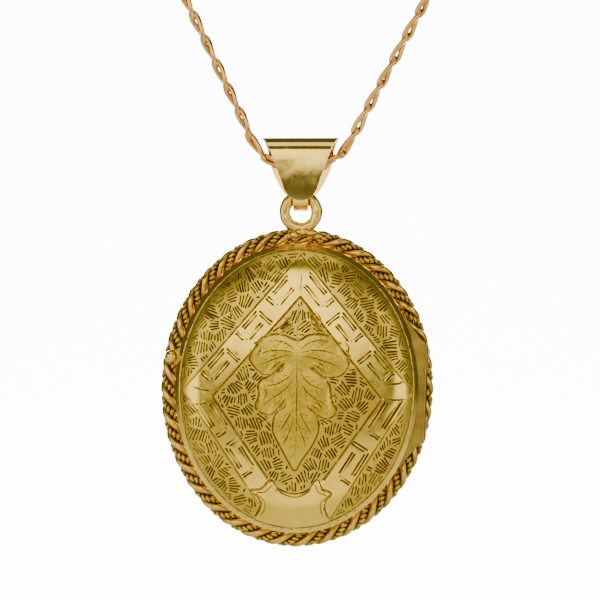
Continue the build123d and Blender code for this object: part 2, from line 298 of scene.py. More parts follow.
curls = [  # raised curls on the leaf and beside its stalk, each from tail to head
    ((1.9, 2.9), (3.1, 1.9)), ((1.6, -1.7), (2.9, -2.8)), ((-1.4, -1.1), (-2.4, -2.4)),
    ((-1.7, 3.2), (-2.8, 2.0)), ((4.8, 5.6), (5.6, 3.9)), ((3.9, -0.2), (4.2, -1.7)),
    ((-4.2, 0.1), (-4.1, -1.5)), ((-4.7, 5.2), (-5.0, 3.9)), ((1.3, 8.9), (2.2, 7.2)),
    ((-1.0, 8.2), (-1.7, 7.0)),
]
band_height, plate_height, curl_height = 0.2, 0.12, 0.3
leaf_step, leaf_swell, leaf_swell_reach = 0.1, 0.2, 0.9  # the leaf's edge stands up, and it swells further in
curl_tail, curl_growth, curl_fade = 0.16, 0.3, 0.35  # half width at the tail, growth to the head, soft ends
edge_slope = 0.16  # how wide the slope at a raised edge is
rim_fade = 0.3  # how wide the slope is where the drawing dies out at the rim


def curve_through(knots, spacing, closed):
    """A smooth line through knots, with points about a spacing apart."""
    knots = np.asarray(knots, float)
    ends = knots if closed else np.vstack([2 * knots[0] - knots[1], knots, 2 * knots[-1] - knots[-2]])
    out = []
    spans = len(knots) if closed else len(knots) - 1
    for i in range(spans):
        a, b, c, d = (ends[(i + k - 1) % len(ends)] for k in range(4)) if closed else ends[i : i + 4]
        pieces = max(1, round(np.linalg.norm(c - b) / spacing))
        for t in np.arange(pieces) / pieces:
            bend, swing = 2 * a - 5 * b + 4 * c - d, 3 * b - a - 3 * c + d
            out.append(0.5 * (2 * b + (c - a) * t + bend * t**2 + swing * t**3))
    if not closed:
        out.append(knots[-1])
    return np.array(out)


leaf_line = curve_through(leaf_knots, 0.3, True)
plate_line = curve_through(plate_knots, 0.35, False)


def inside_convex(points, corners):
    """How far points are inside a convex outline, negative outside."""
    corners = np.asarray(corners, float)
    following = np.roll(corners, -1, axis=0)
    along = (following - corners) / np.linalg.norm(following - corners, axis=1)[:, None]
    off = points[:, None] - corners[None]
    return (along[None, :, 0] * off[..., 1] - along[None, :, 1] * off[..., 0]).min(axis=1)


def inside_outline(points, outline):
    """How far points are inside any closed outline, negative outside."""
    start, end = outline, np.roll(outline, -1, axis=0)
    span = end - start
    off = points[:, None] - start[None]
    share = np.clip((off * span).sum(-1) / np.maximum((span**2).sum(-1), 1e-9), 0, 1)
    gap = np.linalg.norm(off - share[..., None] * span, axis=-1).min(axis=1)
    rising = (start[None, :, 1] > points[:, None, 1]) != (end[None, :, 1] > points[:, None, 1])
    height = np.where(np.abs(span[:, 1]) < 1e-9, 1e-9, span[:, 1])
    cross_x = start[None, :, 0] + (points[:, None, 1] - start[None, :, 1]) / height * span[:, 0]
    within = (rising & (points[:, None, 0] < cross_x)).sum(axis=1) % 2 == 1
    return np.where(within, gap, -gap)


def beside(line, shift):
    """A line moved sideways by a shift, to its left as it runs."""
    along = np.gradient(line, axis=0)
    along /= np.linalg.norm(along, axis=1)[:, None]
    return line + np.stack([-along[:, 1], along[:, 0]], axis=1) * shift


def relief(points):
    """The height of the drawing over the dome, and how far into each region a point is."""
    points = np.asarray(points, float)
    outside = inside_convex(points, band_outside)
    inside = inside_convex(points, band_inside)
    leaf = inside_outline(points, leaf_line)
    plate = inside_outline(points, plate_line)
    band = np.minimum(outside, -inside)
    height = band_height * np.clip(band / edge_slope, 0, 1)
    swell = leaf_swell * (1 - np.exp(-leaf / leaf_swell_reach))
    height += np.where(leaf > 0, leaf_step * np.clip(leaf / edge_slope, 0, 1) + swell, 0)
    for tail, head in curls:
        tail, head = np.array(tail), np.array(head)
        length = np.linalg.norm(head - tail)
        along = (head - tail) / length
        off = points - tail
        forward = off @ along / length
        sideways = off @ np.array([-along[1], along[0]])
        body = curl_tail + curl_growth * np.clip(forward / length, 0, 1)
        ends = np.clip(np.abs(forward - 0.5 * length) - 0.3 * length, 0, None) / curl_fade
        height += curl_height * np.exp(-((sideways / body) ** 2) - ends**2)
    height = np.where(plate > 0, plate_height * np.clip(plate / edge_slope, 0, 1), height)
    reach = oval_reach(points[:, 0], points[:, 1])
    height *= np.clip((rim_reach + 0.25 - reach) / rim_fade, 0, 1)
    return height, {"band": band, "leaf": leaf, "plate": plate, "reach": reach, "inside": inside}


class Engraving:
    """Points, edges and cut depths of a drawing that becomes one skin."""

    def __init__(self):
        self.points, self.cuts, self.edges = [], [], []

    def add(self, points, cut=0.0):
        """Adds points at one depth and gives their numbers."""
        start = len(self.points)
        self.points += [tuple(p) for p in points]
        self.cuts += [cut] * len(points)
        return list(range(start, start + len(points)))

    def scribe(self, points, closed=False, cut=0.0):
        """Adds a line through points, so that the skin has an edge along it."""
        marks = self.add(points, cut)
        self.edges += list(zip(marks, marks[1:]))
        if closed:
            self.edges.append((marks[-1], marks[0]))
        return marks

    def groove(self, path, widths, depth):
        """A V-shaped cut along a path. A width of 0 at an end is a point, and any other end is blunt."""
        path = np.asarray(path, float)
        along = np.gradient(path, axis=0)
        along /= np.linalg.norm(along, axis=1)[:, None]
        across = np.stack([-along[:, 1], along[:, 0]], axis=1)
        widths = np.asarray(widths, float)
        open_ends = widths > 0
        middle = path.copy()
        for end, sign in ((0, 1), (-1, -1)):
            if open_ends[end]:
                middle[end] += sign * along[end] * widths[end] * 0.4
        share = widths[open_ends] / widths.max()
        left = self.scribe((path + across * widths[:, None] / 2)[open_ends])
        right = self.scribe((path - across * widths[:, None] / 2)[open_ends])
        deep = self.scribe(middle[open_ends])
        for mark, part in zip(deep, share):
            self.cuts[mark] = depth * part
        for end in (0, -1):
            if open_ends[end]:
                self.edges += [(left[end], right[end]), (left[end], deep[end]), (right[end], deep[end])]
            else:
                tip = self.add([path[end]])[0]
                self.edges += [(tip, left[end]), (tip, right[end]), (tip, deep[end])]

    def stroke(self, start, end, width, depth):
        """A straight groove that comes to a point at both ends."""
        start, end = np.array(start), np.array(end)
        length = np.linalg.norm(end - start)
        lead = min(0.35, 0.7 * width / length)  # how much of the length each point takes
        path = [start, start + (end - start) * lead, end - (end - start) * lead, end]
        self.groove(path, [0, width, width, 0], depth)


def unit_inward(corner, far):
    """The direction from a side of the band straight towards the middle of the oval."""
    corner, far = np.array(corner, float), np.array(far, float)
    along = (far - corner) / np.linalg.norm(far - corner)
    normal = np.array([-along[1], along[0]])
    return normal if normal @ -corner > 0 else -normal


def key_cuts(drawing, corner, far, units):
    """The Greek key on one side of the band. Each unit is its start, its length and if it has a first bar."""
    corner, far = np.array(corner), np.array(far)
    along = (far - corner) / np.linalg.norm(far - corner)
    inward = unit_inward(corner, far)

    def at(s, depth):
        return corner + along * s + inward * depth

    finer_cut = 0.33  # how far from each cut the finer one beside it is
    low, high, top = 0.45, 1.75, 2.85  # how far in the two long bars are, and the top of the first bar
    gap = 0.14  # between the end of a long bar and the upright there
    upright_depth, long_depth = 0.16, 0.17
    for start, length, first_bar in units:
        for shift, width in ((0, 0.3), (finer_cut, 0.26)):
            last = start + length - shift
            near, away = low + shift, high + shift
            if first_bar:
                drawing.stroke(at(start + shift, top), at(start + shift, 0.62 + shift), width, upright_depth)
            drawing.stroke(at(start + gap + shift, near), at(start + length * 0.76, near), width, long_depth)
            drawing.stroke(at(start + length * 0.22, away), at(last - gap, away), width, long_depth)
            drawing.stroke(at(last, 1.62 + shift), at(last, 0.22), width, upright_depth)


def fan_strokes():
    """The ground's little fans: each cell has strokes side by side that open out a little."""
    spacing, row_rise = 1.75, 0.84  # between cells, and from row to row as a share of it
    half_stroke, stroke_gap = 1.25, 0.33
    fan_gap, edge_gap, plate_gap = 0.03, 0.22, 0.26  # to other fans, to the band and leaf, and to the plate
    shortest = 0.4
    centres = []
    for row in range(-15, 16):
        for column in range(-11, 12):
            x = (column + 0.5 * (row % 2)) * spacing + rng.uniform(-0.45, 0.45)
            z = row * spacing * row_rise + rng.uniform(-0.42, 0.42)
            if oval_reach(x, z) < rim_reach + 0.6:
                centres.append((x, z))
    centres = np.array(centres)
    strokes, owners = [], []
    for number, centre in enumerate(centres):
        turn = rng.uniform(0, 2 * math.pi)
        opening = rng.choice([0.1, 0.25, 0.4])
        axis = np.array([math.cos(turn), math.sin(turn)])
        side = np.array([-axis[1], axis[0]])
        for k in range(-3, 4):
            across = side * k * stroke_gap
            root = centre - axis * half_stroke + across * (1 - opening)
            tip = centre + axis * half_stroke + across * (1 + opening)
            strokes.append((root, tip))
            owners.append(number)
    strokes, owners = np.array(strokes), np.array(owners)
    samples = 14
    shares = np.linspace(0, 1, samples)
    dots = strokes[:, None, 0] + (strokes[:, 1] - strokes[:, 0])[:, None] * shares[None, :, None]
    flat = dots.reshape(-1, 2)
    gaps = np.linalg.norm(flat[:, None] - centres[None], axis=-1)
    own_centre = np.arange(len(flat)), np.repeat(owners, samples)
    own = gaps[own_centre]
    gaps[own_centre] = np.inf
    _, where = relief(flat)
    free = (gaps.min(axis=1) - own > fan_gap) & (where["reach"] < rim_reach - 0.2)
    free &= (where["band"] < -edge_gap) & (where["leaf"] < -edge_gap) & (where["plate"] < -plate_gap)
    free = free.reshape(-1, samples)
    kept = []
    for (start, end), line_free in zip(strokes, free):
        marks = np.flatnonzero(line_free)
        if len(marks) < 4:
            continue
        runs = np.split(marks, np.flatnonzero(np.diff(marks) > 1) + 1)
        best = max(runs, key=len)
        first, last = shares[best[0]], shares[best[-1]]
        if (last - first) * np.linalg.norm(end - start) > shortest:
            kept.append((start + (end - start) * first, start + (end - start) * last))
    return kept


def lid_drawing():
    """The band with its Greek key, the leaf's outline and the swelling cuts in the band's corners."""
    drawing = Engraving()
    for outline in (band_outside, band_inside):
        corners = np.array(outline, float)
        for a, b in zip(corners, np.roll(corners, -1, axis=0)):
            normal = unit_inward(a, b)
            pieces = max(2, round(np.linalg.norm(b - a) / 0.6))
            sign = 1 if outline is band_outside else -1
            for shift, cut in ((0, 0.05), (0.16 * sign, 0), (-0.14 * sign, 0)):
                line = a + (b - a) * np.linspace(0.01, 0.99, pieces)[:, None] + normal * shift
                _, where = relief(line)
                run = line[(where["plate"] < -0.2) & (where["reach"] < rim_reach - 0.2)]
                if len(run) > 1:
                    drawing.scribe(run, cut=cut)
    drawing.scribe(leaf_line, closed=True)
    for shift, cut in ((-0.16, 0), (0.07, 0.09), (0.15, 0)):
        drawing.scribe(beside(leaf_line, shift), closed=True, cut=cut)
    top, left, low_left, low_right, right = band_outside
    key_cuts(drawing, top, right, [(2.0, 4.6, False), (8.1, 3.8, True), (13.9, 3.8, True)])
    key_cuts(drawing, top, left, [(2.6, 3.9, False), (8.1, 3.8, True), (13.9, 4.2, True)])
    key_cuts(drawing, right, low_right, [(1.3, 5.6, False), (8.6, 4.6, True)])
    key_cuts(drawing, left, low_left, [(2.0, 4.9, False), (8.2, 4.3, True)])
    for path, width in (
        ([(-1.2, 14.5), (-0.6, 14.9), (0, 15.05), (0.5, 14.95), (1.0, 14.7)], 0.3),
        ([(10.4, 0.6), (11.2, 0.95), (12.1, 1.15), (12.9, 1.2)], 0.5),
        ([(10.3, -0.8), (11.3, -0.85), (12.3, -0.8), (13.1, -0.7)], 0.34),
        ([(-12.2, -0.1), (-11.3, -0.4), (-10.3, -0.55), (-9.9, -0.6)], 0.34),
        ([(-12.6, -2.0), (-11.6, -2.1), (-10.6, -2.1), (-9.5, -2.0)], 0.42),
        ([(0.25, 13.9), (0.2, 13.0), (0.15, 12.0), (0.12, 11.1)], 0.16),
    ):
        shape = np.sin(np.linspace(0, math.pi, len(path)))
        shape[0] = shape[-1] = 0
        drawing.groove(path, width * shape, 0.35 * width)
    return drawing


# ---- the engraved front cover -----------------------------------------------------------------------------

leaf_veins = [
    [(0.1, 10.4), (0.0, 8.4), (0.0, 6.4), (0.0, 4.6)],
    [(0.0, 4.4), (0.1, 1.0), (0.2, -3.0), (0.2, -8.6)],
    [(0.2, 4.2), (1.8, 4.6), (3.6, 4.5), (5.2, 3.8)],
    [(0.2, 4.5), (1.3, 5.4), (2.6, 5.8), (3.9, 5.6)],
    [(0.3, 4.0), (2.0, 3.7), (3.8, 3.2), (5.0, 2.7)],
    [(-0.2, 4.2), (-1.8, 4.5), (-3.4, 4.3), (-4.8, 3.7)],
    [(-0.2, 4.5), (-1.3, 5.3), (-2.5, 5.6), (-3.6, 5.4)],
    [(-0.3, 4.0), (-1.9, 3.7), (-3.4, 3.1), (-4.3, 2.7)],
    [(0.3, 2.2), (1.2, 1.0), (2.4, 0.3), (3.5, 0.0)],
    [(0.3, 1.2), (1.3, -0.3), (2.6, -1.2), (4.0, -2.0)],
    [(-0.2, 2.2), (-1.2, 1.1), (-2.4, 0.5), (-3.7, 0.2)],
    [(-0.2, 1.2), (-1.3, -0.1), (-2.5, -1.0), (-3.9, -1.9)],
    [(0.3, -2.0), (0.9, -3.4), (1.6, -4.6), (2.1, -5.2)],
    [(0.3, -3.6), (0.8, -5.0), (1.2, -6.0), (1.5, -6.8)],
    [(-0.1, -2.0), (-0.8, -3.4), (-1.4, -4.5), (-2.0, -5.1)],
    [(-0.1, -3.6), (-0.6, -5.0), (-1.0, -6.0), (-1.3, -6.7)],
]


def engrave_leaf(drawing):
    """The leaf's veins with fine hairs beside them, and a groove round each curl."""
    for knots in leaf_veins:
        path = curve_through(knots, 0.5, False)
        swell = np.sin(np.linspace(0.0, math.pi, len(path))) ** 0.6
        swell[0] = swell[-1] = 0
        drawing.groove(path, 0.22 * swell, 0.08)
        for i in range(2, len(path) - 2, 2):
            along = path[i + 1] - path[i]
            along /= np.linalg.norm(along)
            across = np.array([-along[1], along[0]])
            for sign in (-1, 1):
                start = path[i] + across * sign * 0.2
                end = start + across * sign * rng.uniform(0.35, 0.6) + along * 0.45
                if inside_outline(np.array([start, end]), leaf_line).min() > 0.25:
                    drawing.stroke(start, end, 0.1, 0.035)
    for tail, head in curls:
        tail, head = np.array(tail), np.array(head)
        across = np.array([-(head - tail)[1], (head - tail)[0]])
        bow = [tail + across * 0.32, (tail + head) / 2 + across * 0.46, head + across * 0.2]
        path = curve_through(bow, 0.3, False)
        swell = np.sin(np.linspace(0, math.pi, len(path)))
        swell[0] = swell[-1] = 0
        drawing.groove(path, 0.2 * swell, 0.09)


def engrave_ground(drawing):
    """The fans, the plate at the foot with its outline, and the row of dots under it."""
    for start, end in fan_strokes():
        drawing.stroke(start, end, rng.uniform(0.19, 0.25), 0.14)
    plate_middle = np.array([0.3, -14.6])
    inset = plate_line + (plate_middle - plate_line) * 0.12
    _, where = relief(inset)
    inset = inset[where["reach"] < rim_reach - 0.3]
    swell = np.minimum(1, np.minimum(np.arange(len(inset)), np.arange(len(inset))[::-1]) / 2)
    drawing.groove(inset, 0.15 * swell, 0.06)
    for shift, cut in ((0, 0), (-0.16, 0), (0.09, 0.11), (0.2, 0)):
        line = beside(plate_line, shift)
        drawing.scribe(line[oval_reach(line[:, 0], line[:, 1]) < rim_reach - 0.15], cut=cut)
    dot_reach = 13.98
    for turn in np.linspace(math.radians(-122), math.radians(-58), 15):
        dot = np.array([math.cos(turn) * half_width, math.sin(turn) * half_height]) * dot_reach / half_width
        drawing.stroke(dot - (0.16, 0), dot + (0.16, 0), 0.2, 0.1)


outline_count = 240
outline_turn = np.linspace(0, 2 * math.pi, outline_count, endpoint=False)
outline = np.stack([half_width * np.cos(outline_turn), half_height * np.sin(outline_turn)], axis=1)


def engraved_skin():
    """The front cover's outside drawn flat: points, triangles, cut depths, and which points are its edge."""
    drawing = lid_drawing()
    engrave_leaf(drawing)
    engrave_ground(drawing)
    for reach, cut in ((rim_reach + 0.12, 0), (rim_reach, 0.09), (rim_reach - 0.12, 0)):
        drawing.scribe(outline * reach / half_width, closed=True, cut=cut)
    points = [tuple(p) for p in outline] + drawing.points
    cuts = [0.0] * outline_count + drawing.cuts
    edges = [(i, (i + 1) % outline_count) for i in range(outline_count)]
    edges += [(a + outline_count, b + outline_count) for a, b in drawing.edges]
    for row in range(-45, 46):
        for column in range(-36, 37):
            x, z = (column + 0.5 * (row % 2)) * 0.42, row * 0.38
            if oval_reach(x, z) < half_width - 0.25:
                points.append((x, z))
    # closer points where the leaf and the curls swell
    fine = np.array(
        [(column * 0.2 + 0.1 * (row % 2), row * 0.18) for row in range(-54, 52) for column in range(-32, 33)]
    )
    fine_height, where = relief(fine)
    raised = (where["leaf"] > 0.08) | (fine_height > 0.03) & (where["inside"] > 0.2)
    points += [tuple(p) for p in fine[raised]]
    cuts += [0.0] * (len(points) - len(cuts))
    merged = delaunay_2d_cdt([Vector(p) for p in points], edges, [], 0, 1e-4, True)
    flat = np.array([(v.x, v.y) for v in merged[0]])
    depth = np.array([max([cuts[i] for i in origins] or [0]) for origins in merged[3]])
    outline_marks = [0] * outline_count
    for mark, origins in enumerate(merged[3]):
        for origin in origins:
            if origin < outline_count:
                outline_marks[origin] = mark
    return flat, [tuple(face) for face in merged[2]], depth, outline_marks


def cover_inside(side, edge_marks, start):
    """Points and faces that close a cover from its outside edge, round the rim and over the inside."""
    rings = [(half_width, parting_gap), (half_width - sheet, parting_gap)]
    rings += [(reach, float(dome_depth(reach, sheet))) for reach in np.linspace(half_width - sheet, 1.2, 12)]
    points, faces, previous = [], [], edge_marks
    for reach, depth in rings:
        ring = list(range(start + len(points), start + len(points) + outline_count))
        points += [(x * reach / half_width, side * depth, z * reach / half_width) for x, z in outline]
        for i in range(outline_count):
            j = (i + 1) % outline_count
            faces.append((previous[i], previous[j], ring[j], ring[i]))
        previous = ring
    centre = start + len(points)
    points.append((0, side * float(dome_depth(0, sheet)), 0))
    faces += [(previous[i], previous[(i + 1) % outline_count], centre) for i in range(outline_count)]
    return points, faces


def point_outwards(piece):
    """Turns a closed piece's faces outwards."""
    bpy.ops.object.select_all(action="DESELECT")
    piece.select_set(True)
    bpy.context.view_layer.objects.active = piece
    bpy.ops.object.mode_set(mode="EDIT")
    bpy.ops.mesh.select_all(action="SELECT")
    bpy.ops.mesh.normals_make_consistent(inside=False)
    bpy.ops.object.mode_set(mode="OBJECT")
    piece.select_set(False)


flat, skin_faces, cut_depth, edge_marks = engraved_skin()
height, regions = relief(flat)
normals = dome_normal(flat[:, 0], flat[:, 1])
skin = np.stack([flat[:, 0], dome_depth(regions["reach"]), flat[:, 1]], axis=1)
skin += normals * (height - cut_depth)[:, None]
skin[:, 1] *= front
full_shade_depth = 0.07  # how deep a point is when its painted shade is full
# the cuts are darkened with painted shade, darkest where they are deepest
painted_shade = np.clip(cut_depth / full_shade_depth, 0, 1)
inside_points, inside_faces = cover_inside(front, edge_marks, len(skin))
lid_skin = mesh_piece(
    "engraved_cover",
    to_case(np.vstack([skin, inside_points])),
    skin_faces + inside_faces,
    np.concatenate([painted_shade, np.zeros(len(inside_points))]),
)
# masks for painted shade: the lid's material darkens the leaf and the engraved ground, and makes them rougher
ground = np.clip(-np.maximum(np.maximum(regions["band"], regions["leaf"]), regions["plate"]) / 0.12, 0, 1)
ground *= np.clip((rim_reach - regions["reach"]) / 0.1, 0, 1)
for name, zone in (("leaf", np.clip(regions["leaf"] / 0.2, 0, 1)), ("ground", ground)):
    layer = lid_skin.data.attributes.new(name, "FLOAT", "POINT")
    layer.data.foreach_set("value", np.concatenate([zone, np.zeros(len(inside_points))]).astype(np.float32))
point_outwards(lid_skin)
smooth(lid_skin, 16)
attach(lid_skin, "lid")
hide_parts("front_cover")


# ---- the plain back cover ---------------------------------------------------------------------------------

# a shallow groove runs round near the rim, between 13.9 and 13.55
back_reaches = np.concatenate([[half_width], np.linspace(13.9, 13.55, 5), np.linspace(13.1, 0.6, 26)])
back_groove = 0.08
back_cut = np.array([0, 0, 0.03, back_groove, 0.03, 0] + [0] * 26)
back_points, back_faces = [], []
for ring, (reach, cut) in enumerate(zip(back_reaches, back_cut)):
    ring_points = outline * reach / half_width
    out = dome_normal(ring_points[:, 0], ring_points[:, 1])
    depth = np.full(outline_count, float(dome_depth(reach)))
    base = np.stack([ring_points[:, 0], depth, ring_points[:, 1]], axis=1)
    back_points += list(base - out * cut)
    if ring:
        for i in range(outline_count):
            j = (i + 1) % outline_count
            a, b = (ring - 1) * outline_count, ring * outline_count
            back_faces.append((a + i, a + j, b + j, b + i))
pole = len(back_points)
last_ring = pole - outline_count
back_points.append((0, float(dome_depth(0)), 0))
back_faces += [(last_ring + i, last_ring + (i + 1) % outline_count, pole) for i in range(outline_count)]
inside_points, inside_faces = cover_inside(rear, list(range(outline_count)), len(back_points))
# the groove near the rim is darkened with painted shade, darkest at its deepest
groove_shade = np.repeat(back_cut / back_groove, outline_count)
back_shade = np.concatenate([groove_shade, np.zeros(1 + len(inside_points))])
back_skin = mesh_piece(
    "plain_back", to_case(np.vstack([back_points, inside_points])), back_faces + inside_faces, back_shade
)
point_outwards(back_skin)
smooth(back_skin, 25)
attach(back_skin, "case")
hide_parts("back_cover")


# ---- the rope border, in millimetres: two plain wires laid with two pairs of fine twisted wires -----------

rope_half_width, rope_half_height, rope_depth = 15.25, 18.0, 1.65
rope_turns = -18  # how often the four wires go round the rope's middle
fine_turns = 120  # how often the two fine wires of a pair go round each other
rope_start = 0.4
strand_offset, plain_radius = 0.58, 0.43
fine_offset, fine_radius = 0.2, 0.22
seam_half_width, seam_half_height, seam_radius = 14.62, 17.36, 0.33  # a wire between rope and cover
# the seam wire is darkened all over with painted shade for the gap between rope and cover
seam_shade = 0.7
unshaded_reach, shade_span = 0.93, 0.3  # wires have no painted shade this far from the rope's middle, and get painted shade further in


def round_the_oval(count):
    """Even points on the rope's middle line, with the direction out of the oval at each."""
    turn = np.linspace(0, 2 * math.pi, 4001)
    x, z = rope_half_width * np.cos(turn), rope_half_height * np.sin(turn)
    marks = np.concatenate([[0], np.cumsum(np.hypot(np.diff(x), np.diff(z)))])
    even = np.interp(np.arange(count) / count * marks[-1], marks, turn)
    across, up = np.cos(even), np.sin(even)
    line = np.stack([rope_half_width * across, np.full(count, rope_depth), rope_half_height * up], axis=1)
    out = np.stack([across / rope_half_width, np.zeros(count), up / rope_half_height], axis=1)
    return line, out / np.linalg.norm(out, axis=1)[:, None]


def laid(line, out, lie, turns, offset, start):
    """A line wound round another one. Turns below 0 go the other way round."""
    turn = start + np.arange(len(line)) / len(line) * 2 * math.pi * turns
    return line + offset * (np.cos(turn)[:, None] * out + np.sin(turn)[:, None] * lie)


def wire_shade(line, points, sides):
    """Painted shade: 1 where a wire's surface is deep between the rope's wires, 0 where it is outermost."""
    reach = np.linalg.norm(points - np.repeat(line, sides, axis=0), axis=1)
    return np.clip((unshaded_reach - reach) / shade_span, 0, 1)


rope_line, rope_out = round_the_oval(1560)
rope_lie = np.tile([0.0, 1.0, 0.0], (len(rope_line), 1))
wires, wire_shades = [], []
for quarter in range(4):
    start = rope_start + quarter * math.pi / 2
    strand = laid(rope_line, rope_out, rope_lie, rope_turns, strand_offset, start)
    strand_out = (strand - rope_line) / strand_offset
    if quarter % 2 == 0:
        wires.append(tube(strand[::4], plain_radius, 12, True, strand_out[::4]))
        wire_shades.append(wire_shade(rope_line[::4], wires[-1][0], 12))
        continue
    strand_along = np.roll(strand, -1, axis=0) - np.roll(strand, 1, axis=0)
    strand_lie = np.cross(strand_along, strand_out)
    strand_lie /= np.linalg.norm(strand_lie, axis=1)[:, None]
    for start in (0, math.pi):
        fine_line = laid(strand, strand_out, strand_lie, fine_turns, fine_offset, start)
        wires.append(tube(fine_line, fine_radius, 6, True, strand_out))
        wire_shades.append(wire_shade(rope_line, wires[-1][0], 6))
seam = rope_line[::6] * np.array([seam_half_width / rope_half_width, 1, seam_half_height / rope_half_height])
wires.append(tube(seam, seam_radius, 8, True, rope_out[::6]))
wire_shades.append(np.full(len(wires[-1][0]), seam_shade))
rope_points, rope_faces = joined(wires)
rope = mesh_piece("rope_wires", to_case(rope_points), rope_faces, np.concatenate(wire_shades))
point_outwards(rope)
smooth(rope, 60)
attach(rope, "case")
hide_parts("rope_border")


# ---- the hanging ring and the solder at its foot ----------------------------------------------------------

ring_low, ring_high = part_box("hanging_ring")
ring_middle = (ring_low + ring_high) / 2
ring_wire = (ring_high.y - ring_low.y) / 2
ring_radius = (ring_high.x - ring_low.x) / 2 - ring_wire
bpy.ops.mesh.primitive_torus_add(
    major_radius=ring_radius, minor_radius=ring_wire, major_segments=72, minor_segments=24,
    location=ring_middle, rotation=(math.pi / 2, 0, 0),
)
hanging_ring = bpy.context.object
hanging_ring.name = "soldered_ring"
bpy.ops.object.transform_apply(location=True, rotation=True, scale=True)
for vertex in hanging_ring.data.vertices:
    off = vertex.co - ring_middle
    turn = math.atan2(off.z, off.x)
    worn = 0.03 * math.sin(3 * turn + 1) + 0.025 * math.sin(7 * turn + 2) + 0.02 * math.sin(11 * turn)
    spoke = Vector((math.cos(turn), 0, math.sin(turn)))
    centre = ring_middle + spoke * ring_radius
    grown = (vertex.co - centre) * (0.96 + worn)
    vertex.co = centre + grown + spoke * (0.08 * grown.dot(spoke) + 0.04 * mm)
smooth(hanging_ring, 60)
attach(hanging_ring, "case")
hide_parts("hanging_ring")

solder_lumps = [  # across, behind and above the middle of the oval, radius, and where the waves start
    (-0.73, 0.9, 18.2, 0.72, -1.0), (-0.03, 0.4, 18.5, 0.75, -0.3), (0.97, 0.5, 18.4, 0.72, 0.7),
    (1.77, 1.0, 18.1, 0.55, 1.5), (-1.63, 1.1, 18.0, 0.5, -1.9),
]
solder = []
for x, y, z, size, start in solder_lumps:
    place = Vector(to_case([(x, y, z)])[0])
    bpy.ops.mesh.primitive_ico_sphere_add(subdivisions=4, radius=size * mm, location=place)
    lump = bpy.context.object
    bpy.ops.object.transform_apply(location=True, rotation=True, scale=True)
    for vertex in lump.data.vertices:
        off = (vertex.co - place) / mm
        wave = math.sin(3.1 * off.x + start) + math.sin(4.3 * off.z + 2 * start)
        wave += math.sin(3.7 * off.y + start**2)
        vertex.co = place + Vector((off.x * 1.25, off.y, off.z * 0.7)) * mm * (1 + 0.05 * wave)
    solder.append(lump)
bpy.ops.object.select_all(action="DESELECT")
for lump in solder:
    lump.select_set(True)
bpy.context.view_layer.objects.active = solder[0]
bpy.ops.object.join()
solder_foot = bpy.context.object
solder_foot.name = "solder_foot"
smooth(solder_foot, 60)
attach(solder_foot, "case")


# ---- the polished bail ------------------------------------------------------------------------------------


def softened(node, name, body, width):
    """A copy of a CAD piece with its corners rounded over as polishing leaves them, to replace it."""
    piece = nodes[node].copy()
    piece.data = nodes[node].data.copy()
    piece.name = name
    piece.parent = None
    for key in list(piece.keys()):  # the copy isn't a CAD node
        del piece[key]
    bpy.context.collection.objects.link(piece)
    bpy.ops.object.select_all(action="DESELECT")
    piece.select_set(True)
    bpy.context.view_layer.objects.active = piece
    bpy.ops.object.mode_set(mode="EDIT")
    bpy.ops.mesh.select_all(action="SELECT")
    bpy.ops.mesh.remove_doubles(threshold=1e-6)
    bpy.ops.mesh.dissolve_limited(angle_limit=math.radians(0.5))
    bpy.ops.object.mode_set(mode="OBJECT")
    bevel = piece.modifiers.new("rounded_edges", "BEVEL")
    bevel.width = width
    bevel.segments = 3
    bevel.limit_method = "ANGLE"
    bevel.angle_limit = math.radians(38)
    bpy.ops.object.modifier_apply(modifier=bevel.name)
    piece.data.materials.clear()
    smooth(piece, 35)
    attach(piece, body)
    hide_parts(node)
    return piece


polished_bail = softened("bail", "polished_bail", "bail", 0.2 * mm)


# ---- materials --------------------------------------------------------------------------------------------


